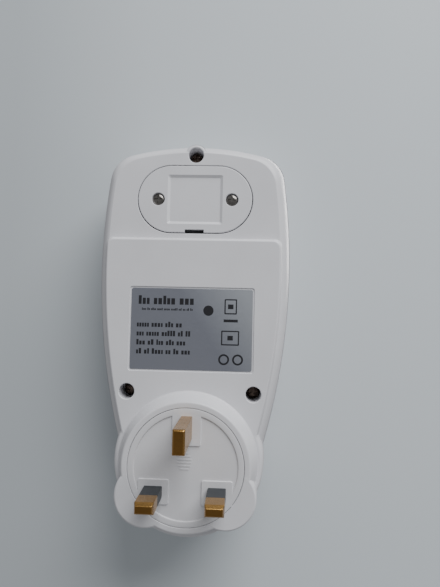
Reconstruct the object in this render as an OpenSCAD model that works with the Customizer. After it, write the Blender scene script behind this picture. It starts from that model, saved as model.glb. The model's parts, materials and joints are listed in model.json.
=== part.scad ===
// Plug-in power meter. Three mains pins stand out of the back. The front has a display,
// four keys and a shuttered outlet, and a battery cover sits above the label on the back.
//
// Each piece is drawn lying on its front and is then stood up by upright():
//   x runs across the case, y from the pins to the display end, and z towards the wall,
//   with the zero point midway between the line and neutral pins on the pin face.

/* [Case] */
// Width at the joint between the two shells
case_w = 73.1; // [66:0.1:80]
// From the pin line to the top of the display end
case_top = 127.4; // [115:0.1:140]
// From the pin face to the front of the case
case_d = 41; // [38:0.5:50]
// From the pin face to the joint between the shells
joint_d = 18; // [16:0.5:26]
// Thickness of the shells
wall = 2; // [1.5:0.1:3]
// Radius of the long bulging sides
side_r = 250; // [180:5:400]
// Height of the widest place
widest_y = 80; // [70:1:95]
// Radius of the bulging top
top_r = 100; // [60:5:200]
// Radius of the top corners
corner_r = 11; // [4:0.5:14]
// Radius of the rounded outlet end at the joint
end_r = 28; // [26:0.1:30]
// From the pin face down to the flat back
back_d = 8; // [5:0.5:12]
// Drop from the flat back to the battery end
step_h = 2; // [1:0.1:4]
// Height of the top of that step
step_y = 89.3; // [80:0.5:100]
// How far the edges round in from the joint to the flat back
edge_in = 4.3; // [2:0.1:6]

/* [Plug] */
// Distance between the line and neutral pins
pin_gap = 22.23; // [22:0.01:22.5]
// Height of the earth pin above the other two
earth_y = 22.23; // [22:0.01:22.5]
// Width of the line and neutral pins
pin_w = 6.35; // [6.2:0.01:6.5]
// Thickness of all three pins
pin_t = 4; // [3.9:0.01:4.1]
// Length of the line and neutral pins
pin_l = 17.7; // [17:0.1:18.5]
// Width of the earth pin
earth_w = 8; // [7.8:0.01:8.2]
// Length of the earth pin
earth_l = 22.7; // [22:0.1:23.5]
// Length of the insulating sleeves
sleeve_l = 9.3; // [9:0.1:9.5]
// Radius of the round plate that holds the pins
plate_r = 20.5; // [19:0.1:22]
// Height of the middle of the round plate
plate_y = 8.5; // [7:0.1:10]
// Radius of the collar round the plate, at its foot
collar_r = 25.2; // [24:0.1:26]
// Radius of the two corner lobes beside the plate
lobe_r = 10.9; // [9:0.1:12]

/* [Battery cover] */
// Width of the cover's opening
cover_w = 43.7; // [36:0.1:50]
// Height of the cover's opening
cover_h = 26; // [20:0.1:30]
// Height of the middle of the cover
cover_y = 105.3; // [100:0.1:110]
// Distance between the cover's two screws
cover_screw_gap = 27.9; // [24:0.1:32]

/* [Front] */
// Width of the display lens
lens_w = 52; // [40:0.5:56]
// Height of the display lens
lens_h = 34; // [24:0.5:40]
// Height of the middle of the display
lens_y = 96; // [85:0.5:100]
// Distance between neighbouring keys
key_gap = 13; // [11:0.5:15]
// Height of the row of keys
key_y = 60; // [50:0.5:66]
// How far a key goes in
key_travel = 0.8; // [0.4:0.1:1.2]
// How far the shutter slides
shutter_travel = 5.5; // [5:0.1:7]

/* [Hidden] */
$fn = 64;
eps = 0.01;
gap = 0.2; // between a loose piece and what it sits in
half_w = case_w / 2;
step_d = back_d + step_h;
step_in = edge_in + 0.3; // how far in from the outline the raised flat starts
plate_open_r = plate_r + gap;
ledge_r = plate_r - 2; // hole under the round plate
face_z = -case_d; // front of the case
floor_z = face_z + wall; // inside of the front wall
outlet_r = 21.8; // radius of the round outlet face
outlet_back = face_z + 2.6; // inner side of the outlet face
board_t = 1.6;
display_z = -33; // front side of the display board
main_z = -19.6; // front side of the main board
strip_z = -11.8; // front side of the strips on the pin tails
low_screw = [23.3, 33.2];
top_screw_y = 122.3;
well_r = 2.9;
well_floor = -17;
label_size = [45, 30];
label_y = 56.4;
key_size = [9.6, 6.2];
wing_w = 31; // across the shutter, which covers both power slots
spring_y = -3.1; // top of the shutter's spring
spring_l = 8;
spring_r = 1.6;
keys_x = [for (i = [-1.5 : 1.5]) i * key_gap];

shell_white = [0.92, 0.92, 0.91];
brass = [0.80, 0.62, 0.30];
steel = [0.66, 0.67, 0.69];
board_green = [0.13, 0.35, 0.20];
dark = [0.13, 0.14, 0.15];

// ---- helpers

module upright() {
    rotate([90, 0, 180]) children();
}

// A block centred on x and y that reaches from z0 up to z1.
module block(size, z0, z1) {
    translate([-size.x / 2, -size.y / 2, z0]) cube([size.x, size.y, z1 - z0]);
}

// A rod along z from z0 up to z1.
module rod(r, z0, z1) {
    translate([0, 0, z0]) cylinder(r = r, h = z1 - z0);
}

// A slot-shaped slab: a rectangle with two round ends.
module slot_slab(size, z0, z1) {
    r = size.y / 2;
    translate([0, 0, z0]) linear_extrude(z1 - z0) union() {
        square([size.x - size.y, size.y], center = true);
        for (s = [-1, 1]) translate([s * (size.x / 2 - r), 0]) circle(r = r);
    }
}

// A slab with four round corners.
module round_slab(size, r, z0, z1) {
    translate([0, 0, z0]) linear_extrude(z1 - z0) union() {
        square([size.x - 2 * r, size.y], center = true);
        square([size.x, size.y - 2 * r], center = true);
        for (sx = [-1, 1], sy = [-1, 1])
            translate([sx * (size.x / 2 - r), sy * (size.y / 2 - r)]) circle(r = r);
    }
}

module both_sides() {
    children();
    mirror([1, 0, 0]) children();
}

module at_case_screws() {
    both_sides() translate([low_screw.x, low_screw.y, 0]) children();
    translate([0, top_screw_y, 0]) children();
}

// ---- case outline

// Outline of the display half, drawn in by an inset. end_y cuts it off at the step.
module display_half(inset, end_y = 200, r = corner_r) {
    offset(r = r, $fn = 32) offset(delta = -r - inset) intersection() {
        translate([half_w - side_r, widest_y]) circle(r = side_r, $fn = 240);
        translate([side_r - half_w, widest_y]) circle(r = side_r, $fn = 240);
        translate([0, case_top - top_r]) circle(r = top_r, $fn = 180);
        translate([-half_w, plate_y - 6]) square([case_w, end_y - plate_y + 6]);
    }
}

// Closes a stack of outlines. Each level is [z, inset].
module display_half_solid(levels, end_y = 200, r = corner_r) {
    hull() for (level = levels)
        translate([0, 0, level[0]]) linear_extrude(eps) display_half(level[1], end_y, r);
}

// The rounded end under the pins, turned from [radius, z] points.
module outlet_end(points) {
    translate([0, plate_y, 0]) rotate_extrude($fn = 96) polygon(points);
}

// Corner lobes that end level with the pin face.
module lobes() {
    both_sides() translate([14, -1.8, 0]) rotate_extrude() polygon([
        [0, -joint_d], [lobe_r, -joint_d], [lobe_r + 0.3, -10],
        [lobe_r, -0.9], [lobe_r - 0.2, -0.3], [lobe_r - 0.7, 0], [0, 0]]);
}

// ---- shells

module rear_solid() {
    display_half_solid([[-joint_d, 0], [-step_d - 4, 1], [-step_d - 2, 1.9],
        [-step_d - 0.6, 3.1], [-step_d, edge_in]]);
    display_half_solid([[-step_d - 3, step_in - 1.3], [-step_d, step_in - 1.2],
        [-back_d - 0.6, step_in - 0.7], [-back_d, step_in]], step_y + step_in, 2.5);
    outlet_end([[0, -joint_d], [end_r, -joint_d], [end_r - 0.4, -back_d - 4],
        [end_r - 0.7, -back_d - 2], [end_r - 1, -back_d - 0.8],
        [end_r - 1.6, -back_d - 0.15], [end_r - 2.1, -back_d], [collar_r, -back_d],
        [collar_r - 2.2, -0.9], [collar_r - 2.5, -0.3], [collar_r - 3, 0], [0, 0]]);
    lobes();
    translate([0, top_screw_y, 0]) rod(4.2, -joint_d, -step_d - 0.2);
}

module rear_hollow() {
    display_half_solid([[-joint_d - eps, wall], [-step_d - wall - 2, wall + 1.6],
        [-step_d - wall, wall + edge_in]]);
    display_half_solid([[-joint_d - eps, wall], [-back_d - wall - 2, wall + 1.6],
        [-back_d - wall, wall + edge_in]], step_y);
    outlet_end([[0, -joint_d - 1], [end_r - wall, -joint_d - 1],
        [end_r - wall - 1, -step_d - 1], [ledge_r, -5.5], [0, -5.5]]);
}

module rear_shell() {
    color(shell_white) upright() {
        difference() {
            union() {
                difference() {
                    rear_solid();
                    rear_hollow();
                }
                intersection() {
                    at_case_screws() rod(well_r + 1.3, -joint_d, -step_d - 1);
                    display_half_solid([[-joint_d, 0], [-step_d, 1.2]]);
                }
                translate([0, cover_y, 0]) battery_skirt();
            }
            translate([0, plate_y, 0]) {
                rod(plate_open_r, -3, 1);
                rod(ledge_r, -6, 0);
            }
            translate([0, cover_y, 0])
                slot_slab([cover_w, cover_h], -step_d - 5, -step_d + 1);
            translate([0, label_y, 0])
                block([label_size.x + 1, label_size.y + 1], -back_d - 0.35, 1);
            at_case_screws() {
                rod(well_r, well_floor, 1);
                rod(1.7, -joint_d - 1, well_floor + 1);
            }
        }
    }
}

// Skirt that hangs from the back wall round the battery opening.
module battery_skirt() {
    difference() {
        slot_slab([cover_w + 3, cover_h + 3], -step_d - 5, -step_d - 1);
        slot_slab([cover_w, cover_h], -step_d - 6, 0);
    }
}

module front_solid() {
    display_half_solid([[-joint_d - 2 * eps, 0], [face_z + 8, 1], [face_z + 3.2, 2.2],
        [face_z + 1, 4], [face_z, 6.4]]);
    outlet_end([[0, -joint_d], [0, face_z], [end_r - 3.8, face_z],
        [end_r - 2.3, face_z + 0.7], [end_r - 1.3, face_z + 2.4],
        [end_r - 0.8, face_z + 5], [end_r, -joint_d]]);
}

module front_hollow() {
    display_half_solid([[-joint_d + eps, wall], [face_z + 8, wall + 1],
        [floor_z, wall + 4]]);
    outlet_end([[0, -joint_d + 1], [end_r - wall, -joint_d + 1],
        [end_r - wall - 0.8, face_z + 5], [end_r - wall - 1.8, floor_z], [0, floor_z]]);
}

module front_shell() {
    color(shell_white) upright() {
        difference() {
            union() {
                difference() {
                    front_solid();
                    front_hollow();
                }
                intersection() {
                    at_case_screws() rod(3.8, face_z + 1, -joint_d);
                    front_solid();
                }
                for (x = [-21, 21], y = [74, 114])
                    translate([x, y, 0]) rod(2.4, floor_z - 0.5, display_z);
            }
            at_case_screws() rod(1.35, floor_z + 1, -joint_d + 1);
            for (x = [-21, 21], y = [74, 114])
                translate([x, y, 0]) rod(1.05, floor_z + 0.4, display_z + 1);
            translate([0, lens_y, 0]) {
                round_slab([lens_w, lens_h], 3, face_z - 1, face_z + 1.4);
                round_slab([lens_w - 5, lens_h - 5], 2, face_z - 1, floor_z + 1);
            }
            for (x = keys_x) translate([x, key_y, 0])
                slot_slab(key_size + [0.5, 0.5], face_z - 1, floor_z + 1);
            translate([0, plate_y, 0]) rod(outlet_r + gap, face_z - 1, floor_z + 1);
        }
        // collar with a lip that the outlet face stands on
        translate([0, plate_y, 0]) difference() {
            rod(outlet_r + 1.8, floor_z - 0.3, outlet_back + 1.4);
            rod(outlet_r + gap, face_z, outlet_back);
            rod(outlet_r - 1, outlet_back - 1, outlet_back + 2);
            // room for the shutter's wings at the end of their slide
            translate([-wing_w / 2 - 1.2, -plate_y - 3.6 - shutter_travel, outlet_back])
                cube([wing_w + 2.4, shutter_travel + 2.5, 2]);
        }
    }
}

// Pan-head screw with a cross recess. The head's top is at z = 0.
module cross_screw(head_r, head_h, shaft_r, length) {
    difference() {
        union() {
            rod(head_r, -head_h, 0);
            rod(shaft_r, -head_h - length, -head_h + eps);
        }
        for (turn = [0, 90]) rotate(turn)
            block([head_r * 1.3, head_r * 0.3], -head_h * 0.6, 1);
    }
}

module case_screws() {
    color(steel) upright()
        at_case_screws() translate([0, 0, well_floor + 2]) cross_screw(2.6, 2, 1.25, 14);
}

module rating_label() {
    color(steel) upright() translate([0, label_y, 0])
        round_slab(label_size, 0.8, -back_d - 0.35, -back_d - 0.2);
}

// ---- plug

module pin_plate() {
    color(shell_white) upright() difference() {
        union() {
            translate([0, plate_y, 0]) difference() {
                union() {
                    rod(plate_r, -3, 0);
                    rod(ledge_r - gap, -8.5, -2.9);
                }
                rod(plate_r - 2, -0.5, 1);
            }
            both_sides() translate([pin_gap / 2, 0, 0])
                round_slab([10.8, 8.6], 0.6, -1, 0);
            translate([0, earth_y, 0]) round_slab([10.2, 12.5], 0.6, -1, 0);
        }
        both_sides() translate([pin_gap / 2, 0, 0]) block([pin_w, pin_t], -9, 1);
        translate([0, earth_y, 0]) block([pin_t, earth_w], -9, 1);
    }
}

// One face pair of a blade, tapered at the tip. Drawn as [across, along] points.
module blade_profile(width, length, tip, tip_l) {
    polygon([[-width / 2, strip_z], [width / 2, strip_z], [width / 2, length - tip_l],
        [width / 2 - tip, length], [tip - width / 2, length], [-width / 2, length - tip_l]]);
}

// A blade whose thin side is along y. Its tip is tapered on all four faces.
module blade(width, thick, length, tip_w, tip_t, tip_l) {
    intersection() {
        translate([0, thick, 0]) rotate([90, 0, 0])
            linear_extrude(2 * thick) blade_profile(width, length, tip_w, tip_l);
        translate([-width, 0, 0]) rotate([90, 0, 90])
            linear_extrude(2 * width) blade_profile(thick, length, tip_t, tip_l);
    }
}

// Line or neutral pin: full section at the tip, thinner core inside its sleeve.
module power_pin() {
    difference() {
        blade(pin_w, pin_t, pin_l, 0.5, 0.85, 1.6);
        difference() {
            block([pin_w + 1, pin_t + 1], strip_z - 1, sleeve_l);
            block([pin_w - 1, pin_t - 1], strip_z - 2, sleeve_l + 1);
        }
    }
}

module pin_sleeve() {
    difference() {
        block([pin_w, pin_t], -6, sleeve_l);
        block([pin_w - 1, pin_t - 1], -7, sleeve_l + 1);
    }
}

module earth_pin() {
    color(brass) upright() translate([0, earth_y, 0]) rotate(90)
        blade(earth_w, pin_t, earth_l, 0.5, 0.45, 0.6);
}

module line_pin() {
    color(brass) upright() translate([-pin_gap / 2, 0, 0]) power_pin();
}

module neutral_pin() {
    color(brass) upright() translate([pin_gap / 2, 0, 0]) power_pin();
}

module line_pin_sleeve() {
    color(dark) upright() translate([-pin_gap / 2, 0, 0]) pin_sleeve();
}

module neutral_pin_sleeve() {
    color(dark) upright() translate([pin_gap / 2, 0, 0]) pin_sleeve();
}

// ---- battery bay

module at_cover_screws() {
    both_sides() translate([cover_screw_gap / 2, cover_y, 0]) children();
}

module battery_cover() {
    color(shell_white) upright() difference() {
        translate([0, cover_y, 0])
            slot_slab([cover_w - 0.7, cover_h - 0.7], -step_d - 2, -step_d);
        translate([0, cover_y, 0]) hull() {
            block([18.9, 16.8], -step_d - 0.6, -step_d - 0.5);
            block([20.9, 18.8], -step_d, -step_d + 0.5);
        }
        translate([0, cover_y - cover_h / 2, 0]) block([7.2, 3.2], -step_d - 3, 1);
        at_cover_screws() {
            rod(2.45, -step_d - 1.2, 1);
            rod(1.3, -step_d - 3, 0);
        }
    }
}

module battery_cover_screws() {
    color(steel) upright()
        at_cover_screws() translate([0, 0, -step_d - 0.3]) cross_screw(2.25, 0.9, 1, 6);
}

module battery_tray() {
    color(dark) upright() difference() {
        translate([0, cover_y, 0])
            slot_slab([cover_w - 0.6, cover_h - 0.6], -step_d - 10, -step_d - 2.3);
        for (x = [-6, 6]) translate([x, cover_y, 0]) rod(5.95, -step_d - 8.6, 0);
        translate([0, cover_y, 0]) block([8, 8], -step_d - 8.6, 0);
        at_cover_screws() rod(1.2, -step_d - 9, 0);
    }
}

module button_cells() {
    color(steel) upright() for (x = [-6, 6]) translate([x, cover_y, 0]) {
        rod(5.8, -step_d - 8, -step_d - 3.6);
        rod(4.9, -step_d - 3.6, -step_d - 2.9);
    }
}

module battery_contacts() {
    color(brass) upright() for (x = [-6, 6]) translate([x, cover_y, 0]) {
        block([4, 8], -step_d - 8.6, -step_d - 8.2);
        translate([0, 2.5, 0]) block([2.4, 2.4], -step_d - 8.25, -step_d - 8);
    }
}

module battery_wires() {
    color([0.7, 0.1, 0.1]) upright() for (x = [-5, 5]) translate([x, 0, 0]) {
        translate([0, 89, -21]) rotate([-90, 0, 0]) cylinder(r = 0.6, h = 12);
        translate([0, 89, 0]) rod(0.6, -21, main_z);
        translate([0, 101, 0]) rod(0.6, -21, -step_d - 10);
        for (y = [89, 101]) translate([0, y, -21]) sphere(r = 0.6);
    }
}

// ---- display

module display_lens() {
    color([0.35, 0.38, 0.42, 0.6]) upright() translate([0, lens_y, 0])
        round_slab([lens_w - 0.3, lens_h - 0.3], 2.9, face_z + 0.2, face_z + 1.4);
}

module display_panel() {
    color([0.62, 0.68, 0.60]) upright() translate([0, lens_y, 0])
        block([lens_w - 6, lens_h - 5], floor_z + 0.2, floor_z + 2.4);
}

module display_frame() {
    color(shell_white) upright() translate([0, lens_y, 0]) difference() {
        block([lens_w - 2, lens_h - 1], floor_z + 0.2, display_z);
        block([lens_w - 5.8, lens_h - 4.8], floor_z - 1, display_z + 1);
        for (x = [-21, 21], y = [74, 114])
            translate([x, y - lens_y, 0]) rod(2.6, floor_z - 1, display_z + 1);
    }
}

module contact_strips() {
    color([0.75, 0.45, 0.6]) upright() for (s = [-1, 1])
        translate([0, lens_y + s * (lens_h / 2 - 4), 0])
            block([lens_w - 10, 1.8], floor_z + 2.4, display_z);
}

module display_board() {
    color(board_green) upright() difference() {
        translate([0, 82, 0]) round_slab([52, 68], 2, display_z, display_z + board_t);
        for (x = [-21, 21], y = [74, 114])
            translate([x, y, 0]) rod(1.3, display_z - 1, display_z + 3);
    }
}

module display_board_screws() {
    color(steel) upright() for (x = [-21, 21], y = [74, 114])
        translate([x, y, display_z + board_t + 1.2]) cross_screw(2.2, 1.2, 0.95, 5.5);
}

module tact_switches() {
    color(dark) upright() for (x = keys_x) translate([x, key_y, 0]) difference() {
        block([6, 6], display_z - 2.6, display_z);
        rod(1.35, display_z - 3, display_z - 0.4);
    }
}

// ---- keys

module key(x) {
    color([0.45, 0.48, 0.52]) upright() translate([x, key_y, 0]) {
        slot_slab(key_size, face_z - 1.2, floor_z + 0.6);
        slot_slab(key_size + [1.8, 1.8], floor_z + 0.2, floor_z + 1);
        rod(1.1, floor_z + 0.9, floor_z + 2.4);
    }
}

module key_plunger(x) {
    color(shell_white) upright() translate([x, key_y, 0])
        rod(1.2, floor_z + 2.4, display_z - 0.6 - key_travel);
}

module key_1() { key(keys_x[0]); }
module key_2() { key(keys_x[1]); }
module key_3() { key(keys_x[2]); }
module key_4() { key(keys_x[3]); }
module key_plunger_1() { key_plunger(keys_x[0]); }
module key_plunger_2() { key_plunger(keys_x[1]); }
module key_plunger_3() { key_plunger(keys_x[2]); }
module key_plunger_4() { key_plunger(keys_x[3]); }

// ---- measuring board

module at_board_screws() {
    for (x = [-20, 20], y = [46, 80]) translate([x, y, 0]) children();
}

module main_board() {
    color(board_green) upright() difference() {
        translate([0, 64, 0]) round_slab([48, 52], 2, main_z, main_z + board_t);
        at_board_screws() rod(1.3, main_z - 1, main_z + 3);
        both_sides() translate([low_screw.x, low_screw.y, 0]) rod(6, main_z - 1, main_z + 3);
    }
}

// Tubes that hold the board off the inside of the back.
module main_board_spacers() {
    color(dark) upright() at_board_screws() difference() {
        rod(2.2, main_z + board_t, -back_d - wall);
        rod(1.1, main_z + board_t - 1, -back_d - wall - 0.6);
    }
}

module main_board_screws() {
    color(steel) upright() at_board_screws() translate([0, 0, main_z - 1.2])
        rotate([180, 0, 0]) cross_screw(2.2, 1.2, 0.95, 8);
}

module metering_chip() {
    color(dark) upright() translate([6, 72, 0]) {
        block([7.5, 10], main_z - 2, main_z - 0.2);
        for (s = [-1, 1], i = [-3.5 : 3.5]) translate([s * 4.2, i * 1.27, 0])
            block([1.4, 0.45], main_z - 0.8, main_z);
    }
}

module film_capacitor() {
    color([0.80, 0.75, 0.30]) upright() translate([-10, 62, 0])
        round_slab([8, 18], 0.8, main_z - 10, main_z);
}

module electrolytic_capacitors() {
    color([0.15, 0.18, 0.35]) upright() for (y = [54, 63]) translate([14, y, 0]) {
        rod(3.2, main_z - 9, main_z);
        rod(2.6, main_z - 9.3, main_z - 8.9);
    }
}

module varistor() {
    color([0.15, 0.30, 0.60]) upright() translate([-1, 50, main_z - 6]) {
        rotate([90, 0, 0]) cylinder(r = 4.6, h = 2.8, center = true);
        for (x = [-2.5, 2.5]) translate([x, 0, 0]) rod(0.4, 0, 6);
    }
}

module shunt() {
    color([0.72, 0.45, 0.30]) upright() translate([-17, 55.2, 0]) {
        for (y = [-6, 6]) translate([0, y, 0]) block([3, 1.2], main_z - 4, main_z);
        block([3, 13.2], main_z - 4.8, main_z - 4);
    }
}

module ribbon_cable() {
    color([0.55, 0.57, 0.60]) upright() translate([-3, 82, 0]) {
        block([10, 0.8], display_z + board_t, main_z);
        for (z = [display_z + board_t, main_z - 2.4])
            translate([0, -0.9, 0]) block([12, 3.4], z, z + 2.4);
    }
}

// ---- outlet

// The three pin slots, grown by a margin all round.
module pin_slots(margin, z0, z1) {
    both_sides() translate([pin_gap / 2, 0, 0])
        block([pin_w + 2 * margin, pin_t + 2 * margin], z0, z1);
    translate([0, earth_y, 0]) block([pin_t + 2 * margin, earth_w + 2 * margin], z0, z1);
}

module outlet_face() {
    color(shell_white) upright() difference() {
        translate([0, plate_y, 0]) rod(outlet_r, face_z, outlet_back);
        pin_slots(0.5, face_z - 1, outlet_back + 1);
    }
}

module shutter() {
    color([0.85, 0.85, 0.84]) upright() {
        block([wing_w, 6], outlet_back + 0.3, outlet_back + 1.9);
        translate([0, 7.5, 0]) block([9, 20.8], outlet_back + 0.3, outlet_back + 1.9);
        // ramp that the earth pin pushes aside
        translate([-pin_t / 2 + 0.1, 0, 0]) rotate([90, 0, 90]) linear_extrude(pin_t - 0.2)
            polygon([[17.8, outlet_back + 0.3], [18.4, outlet_back + 0.3],
                [23.6, outlet_back + 4.2], [23.6, outlet_back + 5],
                [14, outlet_back + 5], [14, outlet_back + 0.8]]);
    }
}

// Flat-wire coil under the shutter.
module shutter_spring() {
    turns = 6;
    outer = spring_r - 0.05;
    inner = spring_r - 0.35;
    color(steel) upright() translate([0, spring_y, outlet_back + 0.3 + spring_r])
        rotate([90, 0, 0])
            linear_extrude(spring_l, twist = -360 * turns, slices = 16 * turns, segments = 12)
                polygon([for (i = [0 : 5]) outer * [cos(22 * i), sin(22 * i)],
                    for (i = [5 : -1 : 0]) inner * [cos(22 * i), sin(22 * i)]]);
}

// Plate behind the shutter. It has a window for the spring, a wall that the spring
// stands on, and four feet that reach down to the outlet face.
module shutter_guide() {
    back = outlet_back + 2.2;
    wall_y = spring_y - spring_l - 0.1;
    color(shell_white) upright() {
        difference() {
            translate([0, plate_y, 0]) rod(outlet_r - 1.4, back, back + 1.6);
            pin_slots(0.9, back - 1, back + 3);
            translate([0, 15, 0]) block([4.6, 22], back - 1, back + 3);
            translate([-spring_r - gap, wall_y, back - 1])
                cube([2 * (spring_r + gap), spring_l + gap, 3]);
        }
        translate([-2.2, wall_y - 0.7, outlet_back + 0.3]) cube([4.4, 0.7, 3]);
        both_sides() for (foot = [[16, 15], [6, -10.1]])
            translate([foot.x, foot.y, 0]) rod(0.9, outlet_back, back + 1);
    }
}

module contact_carrier() {
    color([0.30, 0.30, 0.32]) upright() translate([0, plate_y, 0]) {
        difference() {
            rod(outlet_r - 1, -17, -15);
            rod(2, -18, -14);
        }
        for (turn = [20, 160, 250, 290]) rotate(turn)
            translate([outlet_r - 4, 0, 0]) rod(1.8, outlet_back + 3.8, -16);
    }
}

// Two leaves that grip a pin between them, on a folded base.
module socket_contact(width, space, depth) {
    base_z = -17.8;
    for (s = [-1, 1]) translate([0, s * (space / 2 + 0.35), 0])
        block([width, 0.7], base_z - depth, base_z + 0.8);
    block([width, space + 1.4], base_z, base_z + 0.8);
}

module line_contact() {
    color(brass) upright() translate([-pin_gap / 2, 0, 0]) socket_contact(6, 3.8, 15);
}

module neutral_contact() {
    color(brass) upright() translate([pin_gap / 2, 0, 0]) socket_contact(6, 3.8, 15);
}

module earth_contact() {
    color(brass) upright() translate([0, earth_y, 0]) rotate(90) socket_contact(7, 3.8, 11);
}

// ---- power strips

// Flat strip at the pin tails that runs up and turns down to the main board.
module power_strip(end_y) {
    block([7.5, 6], strip_z, strip_z + 0.8);
    translate([-3.75, 0, strip_z]) cube([4, end_y, 0.8]);
    translate([-3.75, end_y, main_z + board_t])
        cube([4, 0.8, strip_z + 0.8 - main_z - board_t]);
}

module line_strip() {
    color(brass) upright() difference() {
        translate([-pin_gap / 2, 0, 0]) power_strip(42);
        translate([-pin_gap / 2, 0, 0]) block([pin_w - 1, pin_t - 1], -20, 0);
    }
}

module neutral_strip() {
    color(brass) upright() mirror([1, 0, 0]) difference() {
        translate([-pin_gap / 2, 0, 0]) power_strip(42);
        translate([-pin_gap / 2, 0, 0]) block([pin_w - 1, pin_t - 1], -20, 0);
    }
}

// Ties the earth pin straight to the earth contact.
module earth_strip() {
    color(brass) upright() translate([0, earth_y, 0]) {
        difference() {
            block([7, 10], strip_z, strip_z + 0.8);
            block([pin_t, earth_w], strip_z - 1, 0);
        }
        translate([0, 6, 0]) block([5, 0.8], -15, strip_z + 0.8);
        translate([0, 5, 0]) block([5, 1.4], strip_z, strip_z + 0.8);
    }
}

rear_shell();
front_shell();
case_screws();
pin_plate();
earth_pin();
line_pin();
neutral_pin();
line_pin_sleeve();
neutral_pin_sleeve();
rating_label();
battery_cover();
battery_cover_screws();
battery_tray();
button_cells();
battery_contacts();
battery_wires();
display_lens();
display_panel();
display_frame();
contact_strips();
display_board();
display_board_screws();
tact_switches();
key_1();
key_2();
key_3();
key_4();
key_plunger_1();
key_plunger_2();
key_plunger_3();
key_plunger_4();
main_board();
main_board_spacers();
main_board_screws();
metering_chip();
film_capacitor();
electrolytic_capacitors();
varistor();
shunt();
ribbon_cable();
outlet_face();
shutter();
shutter_spring();
shutter_guide();
contact_carrier();
line_contact();
neutral_contact();
earth_contact();
line_strip();
neutral_strip();
earth_strip();
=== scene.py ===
import json
import math
import random

import bmesh
import bpy
from mathutils import Matrix, Quaternion, Vector


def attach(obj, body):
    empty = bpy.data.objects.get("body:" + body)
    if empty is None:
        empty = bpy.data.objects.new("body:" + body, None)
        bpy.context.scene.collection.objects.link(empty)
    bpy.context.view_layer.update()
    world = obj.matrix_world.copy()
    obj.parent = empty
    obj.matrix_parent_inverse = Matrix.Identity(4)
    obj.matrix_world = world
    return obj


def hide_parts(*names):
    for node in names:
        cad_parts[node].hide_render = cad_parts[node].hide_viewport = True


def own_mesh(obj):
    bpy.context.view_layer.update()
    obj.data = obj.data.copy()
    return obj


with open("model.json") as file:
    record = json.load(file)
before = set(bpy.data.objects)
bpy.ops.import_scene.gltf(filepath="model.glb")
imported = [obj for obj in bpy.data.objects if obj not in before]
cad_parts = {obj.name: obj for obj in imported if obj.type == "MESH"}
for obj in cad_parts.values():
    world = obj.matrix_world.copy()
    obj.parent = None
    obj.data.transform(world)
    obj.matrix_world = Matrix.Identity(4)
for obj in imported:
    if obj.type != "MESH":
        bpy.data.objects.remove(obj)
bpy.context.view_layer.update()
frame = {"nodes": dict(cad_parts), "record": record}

# Pieces are drawn lying on their front, in millimetres: x across, y towards the display
# end, z towards the wall. STAND turns them upright in metres, as the CAD frame is.
STAND = Matrix(((-0.001, 0, 0, 0), (0, 0, 0.001, 0), (0, 0.001, 0, 0), (0, 0, 0, 1)))

# ---- sizes that the CAD part is drawn from, in millimetres

HALF_W = 36.55
CASE_TOP = 127.4
FACE_Z = -41.0
JOINT_Z = -18.0
SIDE_R = 250.0
WIDEST_Y = 80.0
TOP_R = 100.0
CORNER_R = 11.0
END_R = 28.0
BACK_Z = -8.0
STEP_Z = -10.0
STEP_Y = 89.3
EDGE_IN = 4.3
STEP_IN = 4.6
WALL = 2.0
FLOOR_Z = FACE_Z + WALL  # inside of the front wall
PIN_X = 11.115
EARTH_Y = 22.23
PLATE_R = 20.5
PLATE_Y = 8.5
COLLAR_R = 25.2
LOBE_R = 10.9
LOBE_X = 14.0
LOBE_Y = -1.8
WELL_R = 2.85
SHAFT_R = 1.7
BAY_W, BAY_H = 43.7, 26.0
COVER_W, COVER_H = 43.15, 25.45
COVER_Y = 105.3
COVER_SCREW_X = 13.95
LABEL_Y = 56.4
LABEL_Z = BACK_Z - 0.35
LABEL_W, LABEL_H = 45, 30
INK_Z = LABEL_Z + 0.155
INK_H = 0.012
LOW_SCREW = (23.3, 33.2)
TOP_SCREW_Y = 122.3
LENS_Y = 96.0
KEY_Y = 60.0
KEY_W, KEY_H = 9.6, 6.2
KEY_TOP = FACE_Z - 1.17
KEYS_X = [-19.5, -6.5, 6.5, 19.5]
OUTLET_R = 21.8
OUTLET_BACK = FACE_Z + 2.6
SPRING_Y = -3.1
SPRING_L = 8.0
CASE_SCREWS = [(-LOW_SCREW[0], LOW_SCREW[1]), LOW_SCREW, (0, TOP_SCREW_Y)]


# ---- outlines and profiles

def smooth_line(points, steps):
    """A smooth line through the points, with several steps between neighbours."""
    ends = [points[0]] + list(points) + [points[-1]]
    line = []
    for a, b, c, d in zip(ends, ends[1:], ends[2:], ends[3:]):
        for i in range(steps):
            t = i / steps
            line.append(tuple(
                0.5 * (2 * q + (r - p) * t + (2 * p - 5 * q + 4 * r - s) * t * t
                       + (3 * q - p - 3 * r + s) * t ** 3)
                for p, q, r, s in zip(a, b, c, d)))
    return line + [tuple(points[-1])]


def arc(centre, radius, start, end, steps):
    """Points on a circle from one angle to another, in radians, both ends included."""
    return [(centre[0] + radius * math.cos(start + (end - start) * i / steps),
             centre[1] + radius * math.sin(start + (end - start) * i / steps))
            for i in range(steps + 1)]


def circle(radius, centre=(0, 0), steps=64):
    return arc(centre, radius, 0, 2 * math.pi, steps)[:-1]


def crossing(c1, r1, c2, r2):
    """The crossing of two circles that lies on the right and towards the display end."""
    d = math.dist(c1, c2)
    along = (d * d + r1 * r1 - r2 * r2) / (2 * d)
    off = math.sqrt(r1 * r1 - along * along)
    ux, uy = (c2[0] - c1[0]) / d, (c2[1] - c1[1]) / d
    both = [(c1[0] + along * ux - s * off * uy, c1[1] + along * uy + s * off * ux)
            for s in (-1, 1)]
    return max(both, key=lambda p: p[0] + p[1])


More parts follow.
